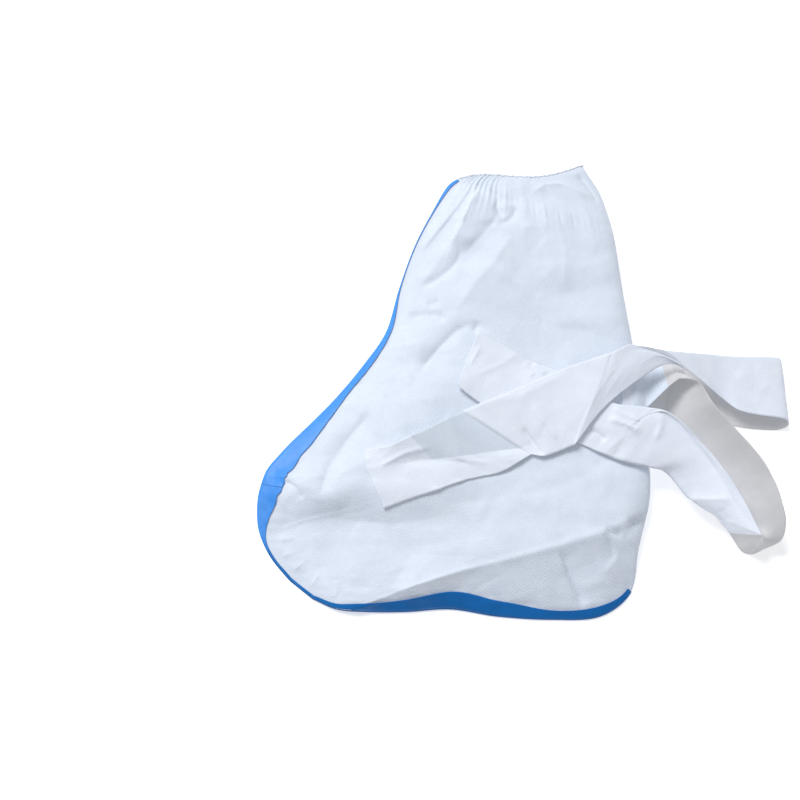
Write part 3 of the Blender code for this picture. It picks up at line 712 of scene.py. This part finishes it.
def build_body(outline, material):
    """The body as one shell: a fine outer skin and a plainer inner one, joined at the rim."""
    grid, top, bottom = body_heights(outline)
    rows, columns = top.shape
    rings = rings_between(grid, top, bottom)
    size = rings.shape[1]
    vertices = list(rings.reshape(-1, 3))
    faces = tube_faces(rows, size)
    faces += strip_cap((rows - 1) * size, size)
    tree = BVHTree.FromPolygons([tuple(v) for v in vertices], faces)

    # The inner skin ends two sections before the toe, where the boot is too thin for it
    inner_rows = list(range(0, rows - 2 * STEPS_PER_SECTION, INNER_EVERY))
    inner_columns = list(range(INNER_EVERY, columns - 2, INNER_EVERY))
    ceiling = spread(top, INNER_EVERY, np.min) - CLOTH_WALL
    floor = spread(bottom, INNER_EVERY, np.max) + CLOTH_WALL
    ceiling[0] = top[0] - CLOTH_WALL
    floor[0] = bottom[0] + CLOTH_WALL
    middle = (top + bottom) / 2
    ceiling = np.maximum(ceiling, middle + LEAST_HOLLOW)
    floor = np.minimum(floor, middle - LEAST_HOLLOW)
    first = len(vertices)
    pick = np.ix_(inner_rows, inner_columns)
    inner = rings_between(grid[pick], ceiling[pick], floor[pick])
    inner_size = inner.shape[1]
    vertices += list(inner.reshape(-1, 3))
    faces += tube_faces(len(inner_rows), inner_size, first=first, inward=True)
    cap = strip_cap(first + (len(inner_rows) - 1) * inner_size, inner_size)
    faces += [face[::-1] for face in cap]
    faces += rim_faces(size, inner_columns, first, inner_size)
    body = add_piece("body_cloth", vertices, faces, material)
    return body, tree, rings[0]


def crest_near(tree, x, y, reach=1.4 * MM):
    """The highest cloth just round a place, so that a film on it isn't pierced."""
    steps = (-reach, 0.0, reach)
    return max(drop(tree, x + dx, y + dy) for dx in steps for dy in steps)


def seam_normals(line):
    """Directions in plan that point out from a line."""
    before = np.diff(line, axis=0, prepend=2 * line[:1] - line[1:2])
    after = np.diff(line, axis=0, append=2 * line[-1:] - line[-2:-1])
    run = before / np.hypot(*before.T)[:, None] + after / np.hypot(*after.T)[:, None]
    run /= np.hypot(*run.T)[:, None]
    return np.stack((run[:, 1], -run[:, 0]), axis=1)


def even_out(rows, reach):
    """Heights that run smoothly from station to station, and nowhere below the ones given."""
    rows = np.asarray(rows)
    last = len(rows) - 1
    windows = [slice(max(i - reach, 0), min(i + reach, last) + 1) for i in range(last + 1)]
    highest = np.array([rows[window].max(axis=0) for window in windows])
    return np.array([highest[window].mean(axis=0) for window in windows])


def build_tape(name, line, outward, shown, tree, material):
    """A thin film folded over the seam: down the upper side, round the edge and below."""
    above = np.linspace(1.0, 0.0, TAPE_COLUMNS_ABOVE)
    below = np.linspace(0.0, 1.0, TAPE_COLUMNS_BELOW)
    shown = shown * (1 + 0.03 * np.sin(0.31 * np.arange(len(shown))))
    places = line[:, None, :] - (outward * shown[:, None])[:, None, :] * above[None, :, None]
    heights = [[crest_near(tree, x, y) for x, y in row[:-1]] + [SEAM_HEIGHT] for row in places]
    heights = np.maximum(even_out(heights, reach=2), SEAM_HEIGHT) + TAPE_LIFT
    vertices = []
    for i, (point, out, width) in enumerate(zip(line, outward, shown)):
        vertices += [(*place, height) for place, height in zip(places[i], heights[i])]
        vertices.append((*(point + out * TAPE_EDGE), SEAM_HEIGHT))
        under = min(2 * TAPE_WIDTH - width, WIDEST_UNDER)
        vertices += [(*(point - out * under * share), LEAST_HEIGHT) for share in below]
    faces = sheet_faces(len(line), len(above) + 1 + len(below))
    tape = add_piece(name, vertices, faces, material)
    add_wall(tape, TAPE_WALL)
    return tape


def build_hem(outline, rim, material):
    """The elastic hem: a thin gathered bead round the leg opening."""
    count, sides = len(rim), HEM_SIDES
    along = Vector((*outline.leg, 0.0))
    vertices, faces = [], []
    for k in range(count):
        before, after = Vector(rim[k - 1]), Vector(rim[(k + 1) % count])
        lift = (after - before).normalized().cross(along).normalized()
        reach = HEM_RADIUS * (1 + 0.35 * math.sin(k * 1.7) * math.sin(k * 0.37 + 1))
        centre = Vector(rim[k]) + along * (HEM_RADIUS * (0.4 + 0.5 * math.sin(k * 0.8)))
        centre.z = max(centre.z, LEAST_HEM_HEIGHT)
        n = (k + 1) % count
        for s in range(sides):
            turn = 2 * math.pi * s / sides
            wide = along * math.cos(turn) * reach * HEM_STRETCH
            vertices.append(centre + wide + lift * math.sin(turn) * reach)
            t = (s + 1) % sides
            faces.append((k * sides + s, k * sides + t, n * sides + t, n * sides + s))
    return add_piece("elastic_bead", vertices, faces, material)


# Ties

def rail(points, crisp):
    """A curve along one edge of a tie, smooth but for its crisp rungs."""
    points = np.asarray(points, float) * MM
    steps = np.linalg.norm(np.diff(points, axis=0), axis=1)
    result = []
    for i in range(len(points) - 1):
        chord = points[i + 1] - points[i]
        leave = chord if crisp[i] or i == 0 else 0.5 * (points[i + 1] - points[i - 1])
        arrive = chord if crisp[i + 1] or i + 2 == len(points) else 0.5 * (points[i + 2] - points[i])
        longest = LONGEST_TANGENT * steps[i]
        for tangent in (leave, arrive):
            reach = np.linalg.norm(tangent)
            if reach > longest:
                tangent *= longest / reach
        result.append((points[i], leave, points[i + 1], arrive))
    return result


def rail_point(piece, t):
    start, leave, end, arrive = piece
    return ((2 * t ** 3 - 3 * t ** 2 + 1) * start + (t ** 3 - 2 * t ** 2 + t) * leave
            + (3 * t ** 2 - 2 * t ** 3) * end + (t ** 3 - t ** 2) * arrive)


def tie_grid(rows):
    """Points of a tie along and across, with their places on the flat strip."""
    crisp = [row.crisp for row in rows]
    rails = [rail([getattr(row, edge) for row in rows], crisp) for edge in EDGES]
    half = np.linspace(0.0, 1.0, TIE_COLUMNS // 2 + 1)
    across = np.linspace(-0.5, 0.5, TIE_COLUMNS) * TIE_WIDTH
    grid, flat, carried = [], [], []
    walked = 0.0
    for i in range(len(rows) - 1):
        spans = [np.linalg.norm(piece[i][2] - piece[i][0]) for piece in rails]
        steps = max(2, int(math.ceil(max(spans) / TIE_STEP)))
        last = steps + 1 if i == len(rows) - 2 else steps
        for t in np.arange(last) / steps:
            near, middle, far = (rail_point(piece[i], t) for piece in rails)
            grid.append([mix(near, middle, s) for s in half] + [mix(middle, far, s) for s in half[1:]])
            flat.append([(walked + t * spans[1], place) for place in across])
            carried.append((rows[i].lies, rows[i + 1].lies, t, i))
        walked += spans[1]
    return np.array(grid), np.array(flat), carried, walked


def laid_rung(tree, row):
    """A rung with its heights counted from the table."""
    if row.lies != "rests":
        return row
    edges = {}
    for edge in EDGES:
        x, y, z = getattr(row, edge)
        edges[edge] = (x, y, drop(tree, x * MM, y * MM) / MM + z)
    return row._replace(**edges)


def build_tie(name, rows, folds, greys, tree, materials, seed):
    """A flat tie, as a thin strip along its rungs that keeps clear of what it crosses."""
    rng = np.random.default_rng(seed)
    points, flat, carried, length = tie_grid([laid_rung(tree, row) for row in rows])
    size = points.shape[:2]
    plan = points[..., :2].reshape(-1, 2)
    flat = flat.reshape(-1, 2)
    relief = sum(crease_height(plan, fold) for fold in folds)
    relief += tie_creases(flat, rng, length)
    relief += facets(flat, rng, TIE_FACETS)
    points[..., 2] += relief.reshape(size)
    for line, (start, end, t, _) in zip(points, carried):
        sealed = mix(float(start == "sealed"), float(end == "sealed"), float(smooth(t)))
        for point in line:
            x, y, height = point
            resting = drop(tree, x, y) + TIE_WALL + DRAPE
            if "below" in (start, end):
                height = max(height, LEAST_HEIGHT)
            else:
                height = mix(height, resting - SEAL_DEPTH, sealed)
                if height > CARRIED_ABOVE and sealed < 0.5:
                    height = max(height, resting)
            point[2] = max(height, TIE_WALL)
    tie = add_piece(name, points.reshape(-1, 3), sheet_faces(*size), materials[PLAIN])
    for material in materials[1:]:
        tie.data.materials.append(material)
    names = [row.name for row in rows]
    # Painted shade: these stretches take the darker copies of the tie cloth
    for stretch in greys:
        rungs = range(names.index(stretch.from_rung), names.index(stretch.to_rung))
        shown = size[1] // 2 if stretch.width == "half" else size[1]
        for index, face in enumerate(tie.data.polygons):
            i, k = divmod(index, size[1] - 1)
            if carried[i][3] in rungs and k < shown:
                face.material_index = stretch.material
    add_wall(tie, TIE_WALL)
    return tie


# Materials

def set_inputs(tree, node, inputs):
    """Give a node's inputs their values, or link them to the sockets that feed them."""
    for key, value in dict(inputs).items():
        if isinstance(value, bpy.types.NodeSocket):
            tree.links.new(value, node.inputs[key])
        else:
            node.inputs[key].default_value = value


def add_node(tree, kind, inputs=(), **settings):
    """A node with its settings and its inputs."""
    node = tree.nodes.new(kind)
    for key, value in settings.items():
        setattr(node, key, value)
    set_inputs(tree, node, inputs)
    return node


def add_noise(tree, place, scale, detail, roughness):
    inputs = {"Vector": place, "Scale": scale, "Detail": detail, "Roughness": roughness}
    return add_node(tree, "ShaderNodeTexNoise", inputs).outputs["Fac"]


def add_ramp(tree, fac, low, high, start=0.0, end=1.0):
    """Colours from low to high, as fac goes from start to end."""
    ramp = add_node(tree, "ShaderNodeValToRGB", {"Fac": fac})
    for element, colour, position in zip(ramp.color_ramp.elements, (low, high), (start, end)):
        element.position = position
        element.color = (*colour, 1)
    return ramp.outputs["Color"]


def add_range(tree, value, start, end, low=0.0, high=1.0):
    """A value from low to high, as the given one goes from start to end."""
    inputs = {"Value": value, "From Min": start, "From Max": end, "To Min": low, "To Max": high}
    return add_node(tree, "ShaderNodeMapRange", inputs).outputs["Result"]


def combine(tree, operation, a, b):
    return add_node(tree, "ShaderNodeMath", {0: a, 1: b}, operation=operation).outputs["Value"]


def add_bump(tree, height, strength, distance):
    inputs = {"Height": height, "Strength": strength, "Distance": distance}
    return add_node(tree, "ShaderNodeBump", inputs).outputs["Normal"]


def new_material(name):
    material = bpy.data.materials.new(name)
    material.use_nodes = True
    tree = material.node_tree
    return material, tree, tree.nodes["Principled BSDF"]


def cloth_material(name, cloth, ribs=None):
    """Bonded non-woven cloth: cloudy fibres, a fine pressed grain and a soft sheen."""
    material, tree, shader = new_material(name)
    place = add_node(tree, "ShaderNodeTexCoord").outputs["Object"]
    cloud = add_noise(tree, place, scale=55.0, detail=5.0, roughness=0.65)
    fibre = add_noise(tree, place, scale=620.0, detail=3.0, roughness=0.7)
    bond = add_node(tree, "ShaderNodeTexVoronoi", {"Vector": place, "Scale": 780.0})
    relief = combine(tree, "ADD", fibre, bond.outputs["Distance"])
    if ribs:
        relief = combine(tree, "ADD", relief, pressed_ribs(tree, place, ribs))
    set_inputs(tree, shader, {
        "Base Color": add_ramp(tree, cloud, cloth.dark, cloth.light, 0.30, 0.70),
        "Normal": add_bump(tree, relief, cloth.grain, 0.6 * MM),
        "Roughness": cloth.roughness,
        # Painted light: the cloth glows faintly, standing in for light through the thin layer
        "Emission Color": (*PAINTED_GLOW, 1),
        "Emission Strength": cloth.through,
        "Sheen Weight": 0.25,
        "Sheen Roughness": 0.5,
        "Specular IOR Level": 0.25,
    })
    return material


def pressed_ribs(tree, place, ribs):
    """Fine slanting ribs, only on the side of a plan line where the sole is."""
    wave = {"Vector": place, "Scale": ribs.scale, "Distortion": 1.2}
    stripes = add_node(tree, "ShaderNodeTexWave", wave, bands_direction="DIAGONAL")
    across = add_node(tree, "ShaderNodeVectorMath", {0: place, 1: (ribs.slope, -1.0, 0.0)},
                      operation="DOT_PRODUCT")
    along = add_node(tree, "ShaderNodeSeparateXYZ", {"Vector": place})
    inside = add_range(tree, across.outputs["Value"], ribs.line + 2 * MM, ribs.line + 8 * MM)
    begins = add_range(tree, along.outputs["X"], ribs.starts, ribs.starts + 45 * MM, high=0.5)
    return combine(tree, "MULTIPLY", stripes.outputs["Fac"], combine(tree, "MULTIPLY", inside, begins))


def film_material(name, at_toe, sole_shade):
    """Blue heat-seal film: satin, faintly creased, and painted darker along the sole, as shade."""
    material, tree, shader = new_material(name)
    place = add_node(tree, "ShaderNodeTexCoord").outputs["Object"]
    split = add_node(tree, "ShaderNodeSeparateXYZ", {"Vector": place})
    down = add_range(tree, split.outputs["Y"], BRIGHT_UNTIL, SHADE_FROM)
    cloud = add_noise(tree, place, scale=70.0, detail=4.0, roughness=0.6)
    crinkle = add_noise(tree, place, scale=240.0, detail=3.0, roughness=0.6)
    # Painted shade: the blue darkens along the sole
    tone = add_node(tree, "ShaderNodeHueSaturation", {
        "Color": add_ramp(tree, down, at_toe, sole_shade),
        "Value": add_range(tree, cloud, 0.0, 1.0, low=0.8, high=1.15),
    })
    set_inputs(tree, shader, {
        "Base Color": tone.outputs["Color"],
        "Normal": add_bump(tree, crinkle, 0.25, 0.8 * MM),
        "Roughness": 0.42,
        "Specular IOR Level": 0.3,
    })
    return material


# Floor, light and camera

def build_stage():
    sides = ((-1, -1), (1, -1), (1, 1), (-1, 1))
    corners = [(x * FLOOR_HALF, y * FLOOR_HALF, -FLOOR_DROP) for x, y in sides]
    mesh = bpy.data.meshes.new("floor")
    mesh.from_pydata(corners, [], [(0, 1, 2, 3)])
    floor = bpy.data.objects.new("floor", mesh)
    bpy.context.scene.collection.objects.link(floor)
    material, tree, shader = new_material("floor_white")
    set_inputs(tree, shader, {
        "Base Color": (0.95, 0.95, 0.955, 1),
        "Roughness": 0.9,
        "Specular IOR Level": 0.1,
        "Emission Color": (1, 1, 1, 1),
        "Emission Strength": FLOOR_GLOW,
    })
    mesh.materials.append(material)


def build_light():
    world = bpy.data.worlds.new("studio")
    bpy.context.scene.world = world
    world.use_nodes = True
    tree = world.node_tree
    place = add_node(tree, "ShaderNodeTexCoord").outputs["Generated"]
    height = add_node(tree, "ShaderNodeSeparateXYZ", {"Vector": place}).outputs["Z"]
    sky = add_ramp(tree, height, SKY_LOW, SKY_HIGH)
    set_inputs(tree, tree.nodes["Background"], {"Color": sky, "Strength": WORLD_LIGHT})
    lamp = bpy.data.lights.new("key", "SUN")
    lamp.angle = math.radians(KEY_SOFTNESS)
    lamp.energy = KEY_LIGHT
    light = bpy.data.objects.new("key", lamp)
    light.rotation_euler = Vector(KEY_FROM).to_track_quat("Z", "Y").to_euler()
    bpy.context.scene.collection.objects.link(light)


def build_camera():
    elevation = math.radians(CAMERA_ELEVATION)
    camera_data = bpy.data.cameras.new("camera")
    camera_data.sensor_width = SENSOR
    camera_data.lens = SENSOR / 2 / math.tan(math.radians(CAMERA_HALF_VIEW))
    camera = bpy.data.objects.new("camera", camera_data)
    back = Vector((0, -math.cos(elevation), math.sin(elevation)))
    camera.location = Vector(CAMERA_TARGET) + CAMERA_DISTANCE * back
    camera.rotation_euler = (math.pi / 2 - elevation, 0.0, 0.0)
    bpy.context.scene.collection.objects.link(camera)
    bpy.context.scene.camera = camera
    bpy.context.scene.view_settings.view_transform = "Standard"


def build_boot_cover():
    white = cloth_material("nonwoven_white", BODY_CLOTH, SOLE_RIBS)
    # The tie cloth and its two darker copies, which paint shade
    tie_cloths = (
        cloth_material("tie_white", TIE_CLOTH),
        cloth_material("tie_deep_shade", TIE_DEEP_SHADE),
        cloth_material("tie_shaded", TIE_SHADED),
    )
    hem_cloth = cloth_material("elastic_hem_white", HEM_CLOTH)
    shin_blue = film_material("seam_tape_blue", BRIGHT_BLUE, BRIGHT_BLUE)
    # The sole tape takes a darker blue along the sole: painted shade
    sole_blue = film_material("sole_tape_blue", BRIGHT_BLUE, SOLE_SHADE_BLUE)

    outline = Outline()
    body, tree, rim = build_body(outline, white)
    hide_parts("boot_body")
    hem = build_hem(outline, rim, hem_cloth)
    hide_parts("elastic_hem")

    seam, normals, shown = outline.seam, seam_normals(outline.seam), outline.tape_shown
    shin = slice(FIRST_TAPE_STATION, outline.meet + 1)
    shin_tape = build_tape("shin_film", seam[shin], normals[shin], shown[shin], tree, shin_blue)
    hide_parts("shin_tape")
    sole = slice(outline.meet, None)
    sole_tape = build_tape("sole_film", seam[sole], normals[sole], shown[sole], tree, sole_blue)
    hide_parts("sole_tape")

    under = build_tie("under_tie_cloth", UNDER_TIE, UNDER_FOLDS, UNDER_GREY, tree, tie_cloths, UNDER_SEED)
    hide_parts("under_tie")
    upper = build_tie("upper_tie_cloth", UPPER_TIE, UPPER_FOLDS, UPPER_GREY, tree, tie_cloths, UPPER_SEED)
    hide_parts("upper_tie")


build_boot_cover()
build_stage()
build_light()
build_camera()
